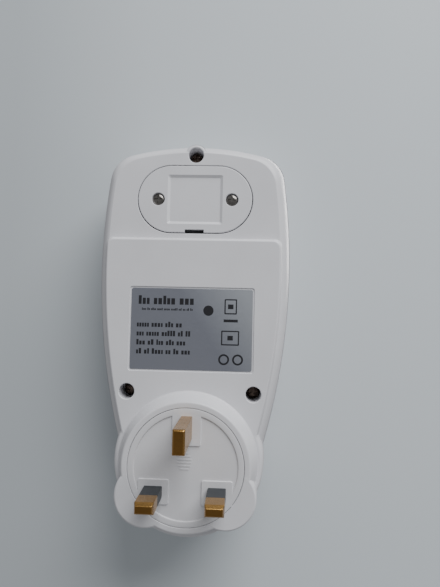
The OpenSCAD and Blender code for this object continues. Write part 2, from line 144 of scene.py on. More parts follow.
def display_half(inset, end_y=None, corner=CORNER_R):
    """Outline of the display half drawn in by an inset, anticlockwise. end_y cuts it off."""
    shrink = corner + inset
    side = (HALF_W - SIDE_R, WIDEST_Y)
    low_y = PLATE_Y - 6 + shrink
    low = (side[0] + math.sqrt((SIDE_R - shrink) ** 2 - (low_y - WIDEST_Y) ** 2), low_y)
    low_turn = math.atan2(low[1] - side[1], low[0] - side[0])
    if end_y is None:
        top = (0, CASE_TOP - TOP_R)
        high = crossing(side, SIDE_R - shrink, top, TOP_R - shrink)
        high_turn = math.atan2(high[1] - top[1], high[0] - top[0])
        cap = arc(top, TOP_R - inset, high_turn, math.pi / 2, 24)[1:]
    else:
        y = end_y - shrink
        high = (side[0] + math.sqrt((SIDE_R - shrink) ** 2 - (y - WIDEST_Y) ** 2), y)
        high_turn = math.pi / 2
        cap = [(high[0] * (1 - i / 12), end_y - inset) for i in range(1, 13)]
    side_turn = math.atan2(high[1] - side[1], high[0] - side[0])
    right = [(low[0] * i / 6, low_y - corner) for i in range(6)]
    right += arc(low, corner, -math.pi / 2, low_turn, 10)
    right += arc(side, SIDE_R - inset, low_turn, side_turn, 40)[1:]
    right += arc(high, corner, side_turn, high_turn, 14)[1:]
    right += cap
    return right + [(-x, y) for x, y in reversed(right[1:-1])]


def slot_outline(width, height, y=0.0, inset=0.0):
    """A rectangle with two round ends."""
    r = height / 2 - inset
    x = (width - height) / 2
    return (arc((x, y), r, -math.pi / 2, math.pi / 2, 32)
            + arc((-x, y), r, math.pi / 2, 3 * math.pi / 2, 32))


def round_rect(width, height, r, centre=(0, 0), inset=0.0):
    """A rectangle with four round corners."""
    w, h = width / 2 - r, height / 2 - r
    points = []
    for n, (sx, sy) in enumerate([(1, 1), (-1, 1), (-1, -1), (1, -1)]):
        at = (centre[0] + sx * w, centre[1] + sy * h)
        points += arc(at, max(r - inset, 0.01), n * math.pi / 2, (n + 1) * math.pi / 2, 6)
    return points


# ---- solids

def add_object(name, bm):
    bmesh.ops.recalc_face_normals(bm, faces=bm.faces)
    mesh = bpy.data.meshes.new(name)
    bm.to_mesh(mesh)
    bm.free()
    thing = bpy.data.objects.new(name, mesh)
    bpy.context.scene.collection.objects.link(thing)
    return thing


def skin(name, rings):
    """A closed solid through rings of the same number of points."""
    bm = bmesh.new()
    loops = [[bm.verts.new(point) for point in ring] for ring in rings]
    for low, high in zip(loops, loops[1:]):
        for i in range(len(low)):
            j = (i + 1) % len(low)
            bm.faces.new((low[i], low[j], high[j], high[i]))
    bm.faces.new(list(reversed(loops[0])))
    bm.faces.new(loops[-1])
    return add_object(name, bm)


def stack(name, rings):
    """A solid through level outlines. Each ring is (outline, z)."""
    return skin(name, [[(x, y, z) for x, y in outline] for outline, z in rings])


def turned(name, profile, centre=(0, 0), steps=128):
    """A solid turned about an axis along z, from [radius, z] points, closed at both ends."""
    return stack(name, [(circle(r, centre, steps), z) for r, z in profile])


def rod(name, r, z0, z1, centre=(0, 0), steps=48):
    return turned(name, [(r, z0), (r, z1)], centre, steps)


def block(name, size, z0, z1, centre=(0, 0)):
    w, h = size[0] / 2, size[1] / 2
    x, y = centre
    outline = [(x - w, y - h), (x + w, y - h), (x + w, y + h), (x - w, y + h)]
    return stack(name, [(outline, z0), (outline, z1)])


def carve(thing, tools, how):
    """Joins the tools to the thing, or cuts them from it, one after another."""
    for tool in tools:
        change = thing.modifiers.new("carve", "BOOLEAN")
        change.operation = how
        change.solver = "EXACT"
        change.object = tool
        graph = bpy.context.evaluated_depsgraph_get()
        mesh = bpy.data.meshes.new_from_object(thing.evaluated_get(graph))
        thing.modifiers.clear()
        thing.data = mesh
        bpy.data.objects.remove(tool)
    return thing


def merge(name, things):
    """Puts several solids into one object without joining their skins."""
    bm = bmesh.new()
    for thing in things:
        bm.from_mesh(thing.data)
        bpy.data.objects.remove(thing)
    return add_object(name, bm)


def round_edges(thing, width, angle=50, segments=2):
    """Rounds the edges that are sharper than an angle in degrees."""
    bm = bmesh.new()
    bm.from_mesh(thing.data)
    sharp = [e for e in bm.edges if e.is_manifold and e.calc_face_angle(0) > math.radians(angle)]
    bmesh.ops.bevel(bm, geom=sharp, offset=width, segments=segments, affect="EDGES",
                    profile=0.5, clamp_overlap=True)
    bm.to_mesh(thing.data)
    bm.free()
    return thing


def paint_pin_end_shade(thing, finish, height):
    """Gives the faces that look along z, above a height in metres, a darker finish of their own:
    painted shade for the dark reflection that the pin tips show.
    """
    thing.data.materials.append(MATERIALS[finish])
    for face in thing.data.polygons:
        if face.normal.y > 0.9 and face.center.y > height:
            face.material_index = 1


def show(thing, body, finish, nodes=(), sharp=32):
    """Stands a drawn piece upright, shades it, and ties it to its CAD body and nodes."""
    thing.data.transform(STAND)
    for face in thing.data.polygons:
        face.use_smooth = True
    thing.data.set_sharp_from_angle(angle=math.radians(sharp))
    weights = thing.modifiers.new("even shading", "WEIGHTED_NORMAL")
    weights.keep_sharp = True
    thing.data.materials.clear()
    thing.data.materials.append(MATERIALS[finish])
    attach(thing, body)
    if nodes:
        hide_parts(*nodes)
    return thing


# ---- materials

def new_material(name):
    material = bpy.data.materials.new(name)
    material.use_nodes = True
    return material, material.node_tree.nodes, material.node_tree.links


def noise(nodes, links, scale, detail=4.0, stretch=(1, 1, 1)):
    """Noise fixed to the object, so that it stays put as the piece moves."""
    place = nodes.new("ShaderNodeTexCoord")
    size = nodes.new("ShaderNodeMapping")
    size.inputs["Scale"].default_value = stretch
    texture = nodes.new("ShaderNodeTexNoise")
    texture.inputs["Scale"].default_value = scale
    texture.inputs["Detail"].default_value = detail
    links.new(place.outputs["Object"], size.inputs["Vector"])
    links.new(size.outputs["Vector"], texture.inputs["Vector"])
    return texture.outputs["Fac"]


def ramp(nodes, links, source, stops):
    """Turns a number into a colour. Each stop is (place, colour)."""
    node = nodes.new("ShaderNodeValToRGB")
    spots = node.color_ramp.elements
    while len(spots) < len(stops):
        spots.new(0.5)
    for spot, (place, colour) in zip(spots, stops):
        spot.position = place
        spot.color = (*colour, 1)
    links.new(source, node.inputs["Fac"])
    return node.outputs["Color"]


def spread(nodes, links, source, low, high):
    node = nodes.new("ShaderNodeMapRange")
    node.inputs["From Min"].default_value = 0.3
    node.inputs["From Max"].default_value = 0.7
    node.inputs["To Min"].default_value = low
    node.inputs["To Max"].default_value = high
    links.new(source, node.inputs["Value"])
    return node.outputs["Result"]


def slope(nodes, links, start, reach, turn=0.0):
    """Rises from 0 to 1 over a reach towards -x, turned about y by an angle in degrees."""
    place = nodes.new("ShaderNodeTexCoord")
    slant = nodes.new("ShaderNodeMapping")
    slant.vector_type = "TEXTURE"
    slant.inputs["Location"].default_value = start
    slant.inputs["Rotation"].default_value = (0, math.radians(turn), 0)
    slant.inputs["Scale"].default_value = (-reach, 1, 1)
    rise = nodes.new("ShaderNodeTexGradient")
    links.new(place.outputs["Object"], slant.inputs["Vector"])
    links.new(slant.outputs["Vector"], rise.inputs["Vector"])
    return rise.outputs["Fac"]


def bump(nodes, links, source, height, shader):
    node = nodes.new("ShaderNodeBump")
    node.inputs["Distance"].default_value = height
    node.inputs["Strength"].default_value = 1.0
    links.new(source, node.inputs["Height"])
    links.new(node.outputs["Normal"], shader.inputs["Normal"])


def plastic(name, colour, rough, grain=0.00002, shift=0.03, grain_scale=1400):
    """Moulded plastic: a fine grain, and colour and gloss that drift a little."""
    material, nodes, links = new_material(name)
    shader = nodes["Principled BSDF"]
    dark = tuple(c * (1 - shift) for c in colour)
    light = tuple(min(c * (1 + shift), 1) for c in colour)
    drift = noise(nodes, links, 45)
    links.new(ramp(nodes, links, drift, [(0.35, dark), (0.65, light)]),
              shader.inputs["Base Color"])
    links.new(spread(nodes, links, noise(nodes, links, 160), rough - 0.04, rough + 0.05),
              shader.inputs["Roughness"])
    bump(nodes, links, noise(nodes, links, grain_scale, 2), grain, shader)
    return material


def metal(name, colour, rough, stretch=(1, 1, 1), scratch=0.00001, shift=0.08):
    """Metal with fine marks that run one way."""
    material, nodes, links = new_material(name)
    shader = nodes["Principled BSDF"]
    shader.inputs["Metallic"].default_value = 1.0
    dark = tuple(c * (1 - shift) for c in colour)
    light = tuple(min(c * (1 + shift), 1) for c in colour)
    links.new(ramp(nodes, links, noise(nodes, links, 220), [(0.3, dark), (0.7, light)]),
              shader.inputs["Base Color"])
    marks = noise(nodes, links, 900, 5, stretch)
    links.new(spread(nodes, links, marks, rough - 0.08, rough + 0.1),
              shader.inputs["Roughness"])
    bump(nodes, links, marks, scratch, shader)
    return material


def board(name):
    """Solder mask with copper tracks showing through as a lighter pattern."""
    material, nodes, links = new_material(name)
    shader = nodes["Principled BSDF"]
    place = nodes.new("ShaderNodeTexCoord")
    cells = nodes.new("ShaderNodeTexBrick")
    cells.inputs["Scale"].default_value = 190
    cells.inputs["Mortar Size"].default_value = 0.03
    cells.inputs["Color1"].default_value = (0.012, 0.09, 0.035, 1)
    cells.inputs["Color2"].default_value = (0.016, 0.11, 0.045, 1)
    cells.inputs["Mortar"].default_value = (0.05, 0.20, 0.08, 1)
    turn = nodes.new("ShaderNodeMapping")
    turn.inputs["Rotation"].default_value = (math.pi / 2, 0, 0)
    links.new(place.outputs["Object"], turn.inputs["Vector"])
    links.new(turn.outputs["Vector"], cells.inputs["Vector"])
    links.new(cells.outputs["Color"], shader.inputs["Base Color"])
    links.new(spread(nodes, links, noise(nodes, links, 300), 0.25, 0.4),
              shader.inputs["Roughness"])
    return material


def foil(name):
    """Silvery paper with a painted highlight: a little lighter towards its top corner on the
    neutral side, where the window lamp's light falls.
    """
    material, nodes, links = new_material(name)
    shader = nodes["Principled BSDF"]
    shader.inputs["Metallic"].default_value = 0.75
    rise = slope(nodes, links, (0.024, 0, 0.036), 0.058, 33)
    links.new(ramp(nodes, links, rise,
                   [(0.0, (0.27, 0.28, 0.32)), (0.6, (0.25, 0.26, 0.30)),
                    (0.95, (0.42, 0.44, 0.47))]), shader.inputs["Base Color"])
    marks = noise(nodes, links, 900, 5, (1, 1, 8))
    links.new(spread(nodes, links, marks, 0.42, 0.56), shader.inputs["Roughness"])
    bump(nodes, links, marks, 0.000004, shader)
    return material


def glass(name, tint, rough=0.06):
    material, nodes, links = new_material(name)
    shader = nodes["Principled BSDF"]
    shader.inputs["Transmission Weight"].default_value = 1.0
    shader.inputs["IOR"].default_value = 1.49
    light = tuple(min(c * 1.03, 1) for c in tint)
    links.new(ramp(nodes, links, noise(nodes, links, 60), [(0.4, tint), (0.6, light)]),
              shader.inputs["Base Color"])
    links.new(spread(nodes, links, noise(nodes, links, 120), rough, rough + 0.05),
              shader.inputs["Roughness"])
    return material


MATERIALS = {
    "case_white": plastic("case_white", (0.70, 0.695, 0.72), 0.36),
    "plate_white": plastic("plate_white", (0.69, 0.685, 0.705), 0.34),
    "key_grey": plastic("key_grey", (0.13, 0.15, 0.18), 0.45),
    "inner_plastic": plastic("inner_plastic", (0.022, 0.022, 0.025), 0.5),
    "sleeve_grey": plastic("sleeve_grey", (0.018, 0.0225, 0.027), 0.45),
    "lcd_glass": plastic("lcd_glass", (0.33, 0.38, 0.31), 0.3, grain=0.000005),
    "elastomer": plastic("elastomer", (0.42, 0.16, 0.22), 0.6),
    "wire_red": plastic("wire_red", (0.40, 0.02, 0.02), 0.4),
    "capacitor_yellow": plastic("capacitor_yellow", (0.55, 0.36, 0.05), 0.45),
    "capacitor_blue": plastic("capacitor_blue", (0.015, 0.05, 0.22), 0.3),
    "ribbon_grey": plastic("ribbon_grey", (0.30, 0.31, 0.33), 0.5),
    "print_dark": plastic("print_dark", (0.006, 0.006, 0.009), 0.6),
    "print_white": plastic("print_white", (0.72, 0.72, 0.72), 0.5),
    "label_silver": foil("label_silver"),
    "brass": metal("brass", (0.41, 0.235, 0.075), 0.28, (6, 1, 6)),
    # brass_end is brass darkened as painted shade, for the dark reflection on the pins' tip ends
    "brass_end": metal("brass_end", (0.26, 0.135, 0.038), 0.34, (1, 1, 6)),
    "dark_screw": metal("dark_screw", (0.16, 0.12, 0.10), 0.4),
    "contact_metal": metal("contact_metal", (0.70, 0.52, 0.26), 0.34, (4, 1, 4)),
    "screw_steel": metal("screw_steel", (0.24, 0.225, 0.21), 0.22, shift=0.3),
    "cell_steel": metal("cell_steel", (0.62, 0.62, 0.64), 0.2),
    "shunt_alloy": metal("shunt_alloy", (0.50, 0.36, 0.26), 0.4),
    "board_green": board("board_green"),
    "lens": glass("lens", (0.86, 0.90, 0.91)),
}


# ---- shells

def edge_rings(levels, end_y=None, corner=CORNER_R, steps=4):
    """Rings of the display half that follow a smooth edge. Each level is (z, inset)."""
    return [(display_half(inset, end_y, corner), z) for z, inset in smooth_line(levels, steps)]


def outlet_end(name, profile, steps=3):
    line = smooth_line(profile, steps)
    return turned(name, line, (0, PLATE_Y), 160)


def lobe(name, side):
    r = LOBE_R
    profile = [(r, JOINT_Z), (r + 0.3, -10), (r + 0.15, -4), (r, -0.9), (r - 0.15, -0.35),
               (r - 0.7, 0)]
    return turned(name, smooth_line(profile, 3), (side * LOBE_X, LOBE_Y), 96)


def rear_solid():
    """The outside of the rear shell with no holes in it."""
    base = stack("rear_shell_moulding", edge_rings([
        (JOINT_Z, 0.2), (JOINT_Z + 0.2, 0.06), (STEP_Z - 4, 1), (STEP_Z - 2, 1.9),
        (STEP_Z - 0.6, 3.1), (STEP_Z, EDGE_IN)]))
    plateau = stack("plateau", edge_rings([
        (STEP_Z - 3, STEP_IN - 1.3), (STEP_Z, STEP_IN - 1.2), (BACK_Z - 0.6, STEP_IN - 0.7),
        (BACK_Z - 0.15, STEP_IN - 0.35), (BACK_Z, STEP_IN)], STEP_Y + STEP_IN, 2.5))
    end = outlet_end("end", [
        (END_R - 0.2, JOINT_Z), (END_R - 0.06, JOINT_Z + 0.2), (END_R - 0.4, BACK_Z - 4),
        (END_R - 0.7, BACK_Z - 2), (END_R - 1, BACK_Z - 0.8), (END_R - 1.6, BACK_Z - 0.2),
        (END_R - 2.1, BACK_Z - 0.05)])
    collar = outlet_end("collar", [
        (COLLAR_R + 0.4, BACK_Z - 1), (COLLAR_R + 0.4, BACK_Z - 0.06),
        (COLLAR_R + 0.15, BACK_Z + 0.15), (COLLAR_R - 0.1, BACK_Z + 0.6),
        (COLLAR_R - 1.1, BACK_Z / 2), (COLLAR_R - 2.2, -0.9), (COLLAR_R - 2.45, -0.35),
        (COLLAR_R - 2.8, -0.08), (COLLAR_R - 3.2, -0.01), (PLATE_R + 0.3, 0)])
    boss = turned("boss", smooth_line([(4.2, JOINT_Z + 0.2), (4.2, STEP_Z - 1),
                  (3.9, STEP_Z - 0.4), (3.4, STEP_Z - 0.2)], 3), (0, TOP_SCREW_Y), 48)
    return carve(base, [plateau, end, collar, lobe("lobe_a", -1), lobe("lobe_b", 1), boss],
                 "UNION")


def rear_hollow():
    hollow = stack("hollow", [(display_half(WALL), JOINT_Z - 1),
                              (display_half(WALL + 1.6), STEP_Z - WALL - 2),
                              (display_half(WALL + EDGE_IN), STEP_Z - WALL)])
    end = turned("end_hollow", [(END_R - WALL, JOINT_Z - 1.1), (END_R - WALL - 1, -11),
                                (PLATE_R - 2, -5.5)], (0, PLATE_Y), 96)
    return [hollow, end]


def make_rear_shell():
    shell = carve(rear_solid(), rear_hollow(), "DIFFERENCE")
    tubes = [rod("tube", 4.0, JOINT_Z + 0.1, STEP_Z - 1.2, at) for at in CASE_SCREWS]
    skirt = stack("skirt", [(slot_outline(46.7, 29, COVER_Y), z) for z in (-15, -11)])
    carve(shell, tubes + [skirt], "UNION")
    mouths = [(BACK_Z - 0.3, BACK_Z), (BACK_Z - 0.3, BACK_Z), (STEP_Z - 0.5, STEP_Z - 0.2)]
    wells = [turned("well", [(WELL_R, -17), (WELL_R, low), (WELL_R + 0.25, high),
                             (WELL_R + 0.25, 1)], at, 48)
             for at, (low, high) in zip(CASE_SCREWS, mouths)]
    shafts = [rod("shaft", SHAFT_R, JOINT_Z - 1, -16, at) for at in CASE_SCREWS]
    opening = turned("opening", [(PLATE_R - 2, -6), (PLATE_R - 2, -3)], (0, PLATE_Y))
    seat = turned("seat", [(PLATE_R + 0.08, -3), (PLATE_R + 0.08, -0.25),
                           (PLATE_R + 0.25, 0), (PLATE_R + 0.3, 1)], (0, PLATE_Y))
    bay_wall = slot_outline(BAY_W, BAY_H, COVER_Y)
    bay_mouth = slot_outline(BAY_W + 0.4, BAY_H + 0.4, COVER_Y)
    bay = stack("bay", [(bay_wall, -16), (bay_wall, STEP_Z - 0.25), (bay_mouth, STEP_Z),
                        (bay_mouth, 0)])
    w, h = LABEL_W + 1, LABEL_H + 1
    recess_mouth = round_rect(w + 0.3, h + 0.3, 0.95, (0, LABEL_Y))
    recess = stack("recess", [(round_rect(w, h, 0.8, (0, LABEL_Y)), LABEL_Z),
                              (recess_mouth, BACK_Z), (recess_mouth, 0)])
    carve(shell, wells + shafts + [opening, seat, bay, recess], "DIFFERENCE")
    show(shell, "case", "case_white", ["rear_shell"])


def make_front_shell():
    shell = stack("front_shell_moulding", edge_rings([
        (FACE_Z, 6.4), (FACE_Z + 1, 4), (FACE_Z + 3.2, 2.2), (FACE_Z + 8, 1),
        (JOINT_Z - 0.2, 0.06), (JOINT_Z, 0.2)]))
    end = outlet_end("end", [
        (END_R - 3.8, FACE_Z), (END_R - 2.3, FACE_Z + 0.7), (END_R - 1.3, FACE_Z + 2.4),
        (END_R - 0.8, FACE_Z + 5), (END_R - 0.06, JOINT_Z - 0.2), (END_R - 0.2, JOINT_Z)])
    carve(shell, [end], "UNION")
    hollow = stack("hollow", [(display_half(WALL + 4), FLOOR_Z),
                              (display_half(WALL + 1), FACE_Z + 8),
                              (display_half(WALL), JOINT_Z + 1)])
    end_hollow = turned("end_hollow", [(END_R - WALL - 1.8, FLOOR_Z),
                        (END_R - WALL - 0.8, FACE_Z + 5),
                        (END_R - WALL, JOINT_Z + 1.1)], (0, PLATE_Y), 96)
    window = stack("window", [(round_rect(52.4, 34.4, 3.2, (0, LENS_Y)), FACE_Z - 1),
                              (round_rect(52.4, 34.4, 3.2, (0, LENS_Y)), FACE_Z),
                              (round_rect(52, 34, 3, (0, LENS_Y)), FACE_Z + 0.25),
                              (round_rect(52, 34, 3, (0, LENS_Y)), FACE_Z + 1.4)])
    view = stack("view", [(round_rect(47, 29, 2, (0, LENS_Y)), z)
                          for z in (FACE_Z, FLOOR_Z + 1)])
    keyholes = [stack("keyhole", [
        ([(p[0] + x, p[1]) for p in slot_outline(10.4, 7.0, KEY_Y)], FACE_Z - 1),
        ([(p[0] + x, p[1]) for p in slot_outline(10.4, 7.0, KEY_Y)], FACE_Z),
        ([(p[0] + x, p[1]) for p in slot_outline(10.1, 6.7, KEY_Y)], FACE_Z + 0.2),
        ([(p[0] + x, p[1]) for p in slot_outline(10.1, 6.7, KEY_Y)], FLOOR_Z + 1)])
        for x in KEYS_X]
    mouth = turned("mouth", [(OUTLET_R + 0.5, FACE_Z - 1), (OUTLET_R + 0.5, FACE_Z),
                             (OUTLET_R + 0.2, FACE_Z + 0.3), (OUTLET_R + 0.2, FLOOR_Z + 1)],
                   (0, PLATE_Y))
    carve(shell, [hollow, end_hollow, window, view, *keyholes, mouth], "DIFFERENCE")
    show(shell, "case", "case_white", ["front_shell"])


# ---- plug

def make_pin_plate():
    r = PLATE_R
    disc = turned("pin_plate_moulding", [
        (r - 2.4, -8.5), (r - 2.4, -3), (r, -3), (r, -0.35), (r - 0.1, -0.1), (r - 0.35, 0),
        (r - 1.8, 0), (r - 2.1, -0.12), (r - 2.3, -0.45), (r - 2.6, -0.5), (1, -0.5)],
        (0, PLATE_Y))
    pads = [(10.8, 8.6, (-PIN_X, 0)), (10.8, 8.6, (PIN_X, 0)), (10.2, 12.5, (0, EARTH_Y))]
    raised = [stack("pad", [(round_rect(w + 0.2, h + 0.2, 0.7, at), -1),
                            (round_rect(w, h, 0.6, at), -0.18),
                            (round_rect(w, h, 0.6, at, 0.12), -0.03)]) for w, h, at in pads]
    ribs = [block("rib", (rib_w, 0.4), -0.9, -0.38, (-0.5, 13.4 - 1.1 * n))
            for n, rib_w in enumerate((3.2, 4.4, 5, 5, 4.4, 3.2))]
    carve(disc, raised + ribs, "UNION")
    show(disc, "case", "plate_white", ["pin_plate"])


def blade(name, size, z0, length, tip, tip_l, centre, edge=0.25):
    """A rectangular pin whose tip tapers on all four faces."""
    w, h = size
    x, y = centre

    def ring(shrink_w, shrink_h, z):
        return ([(x + sx * (w / 2 - shrink_w), y + sy * (h / 2 - shrink_h))
                 for sx, sy in ((-1, -1), (1, -1), (1, 1), (-1, 1))], z)

    pin = stack(name, [ring(0, 0, z0), ring(0, 0, length - tip_l), ring(*tip, length)])
    return round_edges(pin, edge, 20, 3)


def make_pins():
    for side, name in ((-1, "line"), (1, "neutral")):
        at = (side * PIN_X, 0)
        core = block("core", (5.35, 3.0), -11.8, 9.6, at)
        tip = blade("tip", (6.35, 4.0), 9.3, 17.7, (0.5, 0.85), 1.6, at)
        pin = merge(name + "_pin_blade", [core, tip])
        show(pin, "case", "brass", [name + "_pin"])
        # the tip ends get painted shade: the darker brass_end
        paint_pin_end_shade(pin, "brass_end", 0.017)
        sleeve = stack(name + "_pin_cover", [
            (round_rect(6.35, 4.0, 0.3, at), -6), (round_rect(6.35, 4.0, 0.3, at), 9.15),
            (round_rect(6.2, 3.85, 0.3, at), 9.3)])
        hole = block("hole", (5.35, 3.0), -7, 10, at)
        carve(sleeve, [hole], "DIFFERENCE")
        show(sleeve, "case", "sleeve_grey", [name + "_pin_sleeve"])
    earth = blade("earth_pin_blade", (4.0, 8.0), -11.8, 22.7, (0.45, 0.5), 0.6, (0, EARTH_Y))
    show(earth, "case", "brass", ["earth_pin"])
    paint_pin_end_shade(earth, "brass_end", 0.022)


# ---- screws

def cross_head(name, r, top, depth, shaft_r, length, centre):
    """A pan-head screw with a cross recess, drawn along z with its head's top at a height."""
    profile = [(shaft_r, top - depth - length), (shaft_r, top - depth), (r, top - depth),
               (r, top - depth * 0.8), (r * 0.93, top - depth * 0.45),
               (r * 0.75, top - depth * 0.2), (r * 0.4, top)]
    screw = turned(name, profile, centre, 48)
    arms = [stack("arm", [(round_rect(*size, 0.05, centre), top - depth * 0.8),
                          (round_rect(size[0] * 1.15, size[1] * 1.15, 0.05, centre), top + 1)])
            for size in ((r * 1.3, r * 0.32), (r * 0.32, r * 1.3))]
    return carve(screw, arms, "DIFFERENCE")


def make_screws():
    case = [cross_head("s", 2.6, -15, 1.9, 1.25, 14, at) for at in CASE_SCREWS]
    show(merge("case_screw_set", case), "case", "dark_screw", ["case_screws"])
    lid = [cross_head("s", 2.25, STEP_Z - 0.3, 0.9, 1.0, 6, (side * COVER_SCREW_X, COVER_Y))
           for side in (-1, 1)]
    show(merge("cover_screw_set", lid), "battery_lid", "screw_steel",
         ["battery_cover_screws"])


# ---- battery bay

def make_battery_cover():
    w, h = COVER_W, COVER_H
    y = COVER_Y + 0.1  # it sits a little towards the top of its bay
    cover = stack("battery_cover_moulding", [
        (slot_outline(w, h, y), STEP_Z - 2),
        (slot_outline(w, h, y), STEP_Z - 0.3),
        (slot_outline(w, h, y, 0.1), STEP_Z - 0.08),
        (slot_outline(w, h, y, 0.3), STEP_Z)])
    dip = stack("dip", [(round_rect(18.9, 16.8, 0.5, (0, COVER_Y)), STEP_Z - 0.6),
                        (round_rect(20.9, 18.8, 0.7, (0, COVER_Y)), STEP_Z),
                        (round_rect(20.9, 18.8, 0.7, (0, COVER_Y)), STEP_Z + 1)])
    notch = block("notch", (7.2, 3.2), STEP_Z - 3, 1, (0, COVER_Y - 13))
    wells = [turned("well", [(1.3, STEP_Z - 3), (1.3, STEP_Z - 1.2), (2.4, STEP_Z - 1.2),
                             (2.4, STEP_Z - 0.2), (2.6, STEP_Z), (2.6, 1)],
                    (side * COVER_SCREW_X, COVER_Y), 48) for side in (-1, 1)]
    carve(cover, [dip, notch, *wells], "DIFFERENCE")
    show(cover, "battery_lid", "case_white", ["battery_cover"], 20)


def make_cells():
    cells = [turned("c", [(5.5, STEP_Z - 8), (5.8, STEP_Z - 7.8), (5.8, STEP_Z - 4.0),
                          (5.6, STEP_Z - 3.65), (5.1, STEP_Z - 3.6), (4.9, STEP_Z - 3.5),
                          (4.85, STEP_Z - 3.1), (4.6, STEP_Z - 2.9), (1, STEP_Z - 2.9)],
                    (x, COVER_Y), 64) for x in (-6, 6)]
    show(merge("button_cell_pair", cells), "case", "cell_steel", ["button_cells"])


# ---- label

def text_row(rng, x, y, height, width):
    """Small blocks that read as a line of print from a distance, and spell nothing."""
    bars, at = [], x
    while at < x + width:
        for _ in range(rng.choice((2, 3, 4, 5))):
            w = height * rng.uniform(0.4, 0.62)
            h = height * rng.choice((0.72, 0.72, 1.0))
            if at + w > x + width:
                return bars
            bars.append((at, y, w * 0.74, h))
            at += w
        at += height * 0.4
    return bars


def printed(outline, hole=None):
    """A thin layer of ink inside an outline, with a hole in it if one is given."""
    ink = stack("ink", [(outline, INK_Z), (outline, INK_Z + INK_H)])
    if hole:
        carve(ink, [stack("hole", [(hole, INK_Z - 1), (hole, INK_Z + 1)])], "DIFFERENCE")
    return ink


def make_label():
    edge = round_rect(LABEL_W, LABEL_H, 0.8, (0, LABEL_Y))
    top = round_rect(LABEL_W, LABEL_H, 0.8, (0, LABEL_Y), 0.05)
    plate = stack("label_foil", [(edge, LABEL_Z), (edge, LABEL_Z + 0.12),
                                 (top, LABEL_Z + 0.15)])
    show(plate, "case", "label_silver", ["rating_label"])
    rng = random.Random(4)
    bars = text_row(rng, -19.8, 65.4, 3.2, 23)
    bars += text_row(rng, -18.5, 63.2, 0.9, 19)
    for n, width in enumerate((17, 20.5, 19, 21)):
        bars += text_row(rng, -20.2, 57.0 - 3.3 * n, 2.0, width)
    marks = [block("ink", (w, h), INK_Z, INK_Z + INK_H, (x + w / 2, y + h / 2))
             for x, y, w, h in bars]
    marks.append(block("ink", (5.2, 1.0), INK_Z, INK_Z + INK_H, (14.5, 59.8)))
    marks.append(printed(circle(1.9, (6.2, 63.4), 32)))
    for w, h, y in ((4.6, 5.6, 65.0), (6.6, 5.4, 53.5)):
        frame_at = (14.4, y)
        marks.append(printed(round_rect(w, h, 0.3, frame_at),
                             round_rect(w - 0.9, h - 0.9, 0.1, frame_at)))
        marks.append(block("ink", (2.0, 1.7), INK_Z, INK_Z + INK_H, frame_at))
    for x in (12.2, 17.3):
        marks.append(printed(circle(2.0, (x, 45.6), 32), circle(1.35, (x, 45.6), 32)))
    show(merge("label_print", marks), "case", "print_dark")


# ---- front

def make_lens():
    lens = stack("display_window", [
        (round_rect(51.7, 33.7, 2.9, (0, LENS_Y), 0.2), FACE_Z + 0.2),
        (round_rect(51.7, 33.7, 2.9, (0, LENS_Y)), FACE_Z + 0.4),
        (round_rect(51.7, 33.7, 2.9, (0, LENS_Y)), FACE_Z + 1.4)])
    show(lens, "case", "lens", ["display_lens"])


SEGMENTS = {  # left, low, width, height of each bar as shares of a digit's size
    "a": (0.15, 0.92, 0.7, 0.08), "b": (0.85, 0.54, 0.12, 0.36), "c": (0.85, 0.10, 0.12, 0.36),
    "d": (0.15, 0.0, 0.7, 0.08), "e": (0.03, 0.10, 0.12, 0.36), "f": (0.03, 0.54, 0.12, 0.36),
    "g": (0.15, 0.46, 0.7, 0.08)}
DIGITS = {"0": "abcdef", "2": "abged", "3": "abgcd", "4": "fgbc", "1": "bc", "8": "abcdefg"}


def make_digits():
    """Dark bars just in front of the display glass. They read right from the front."""
    z = FLOOR_Z + 0.12
    bars = []
    for row, (text, size, low) in enumerate((("0312", 9.0, 98.0), ("2430", 6.0, 86.5))):
        for n, digit in enumerate(text):
            left = 17.0 - n * size * 0.95
            for key in DIGITS[digit]:
                x, y, w, h = SEGMENTS[key]
                wide = size * 0.62
                at = (left - (x + w / 2) * wide, low + (y + h / 2) * size)
                bars.append(block("b", (w * wide * 0.96, h * size), z, z + 0.05, at))
    show(merge("display_digits", bars), "case", "print_dark")


def key_ring(x, extra, z, inset=0.0):
    """The outline of the key at x, made larger by an extra and drawn in by an inset."""
    outline = slot_outline(KEY_W + extra, KEY_H + extra, KEY_Y, inset)
    return ([(px + x, py) for px, py in outline], z)


def make_keys():
    for n, x in enumerate(KEYS_X):
        cap = stack("cap", [key_ring(x, 0, KEY_TOP, 0.7), key_ring(x, 0, KEY_TOP + 0.07, 0.35),
                            key_ring(x, 0, KEY_TOP + 0.27, 0.1), key_ring(x, 0, KEY_TOP + 0.57),
                            key_ring(x, 0, FLOOR_Z + 0.3)])
        flange = stack("flange", [key_ring(x, 1.8, FLOOR_Z + 0.2),
                                  key_ring(x, 1.8, FLOOR_Z + 1)])
        stem = rod("stem", 1.1, FLOOR_Z + 0.8, FLOOR_Z + 2.4, (x, KEY_Y))
        body = "key_" + "abcd"[n]
        show(merge(f"keycap_{n + 1}", [cap, flange, stem]), body, "key_grey",
             [f"key_{n + 1}"])
        sides = (3, 3, 24, 4)[n]
        turn = (0.5, 1.5, 0, 0.25)[n] * math.pi
        mark = [(x + 1.3 * math.cos(turn + 2 * math.pi * i / sides),
                 KEY_Y + 1.3 * math.sin(turn + 2 * math.pi * i / sides)) for i in range(sides)]
        sign = stack(f"key_mark_{n + 1}", [(mark, KEY_TOP - 0.025), (mark, KEY_TOP + 0.07)])
        show(sign, body, "print_white")


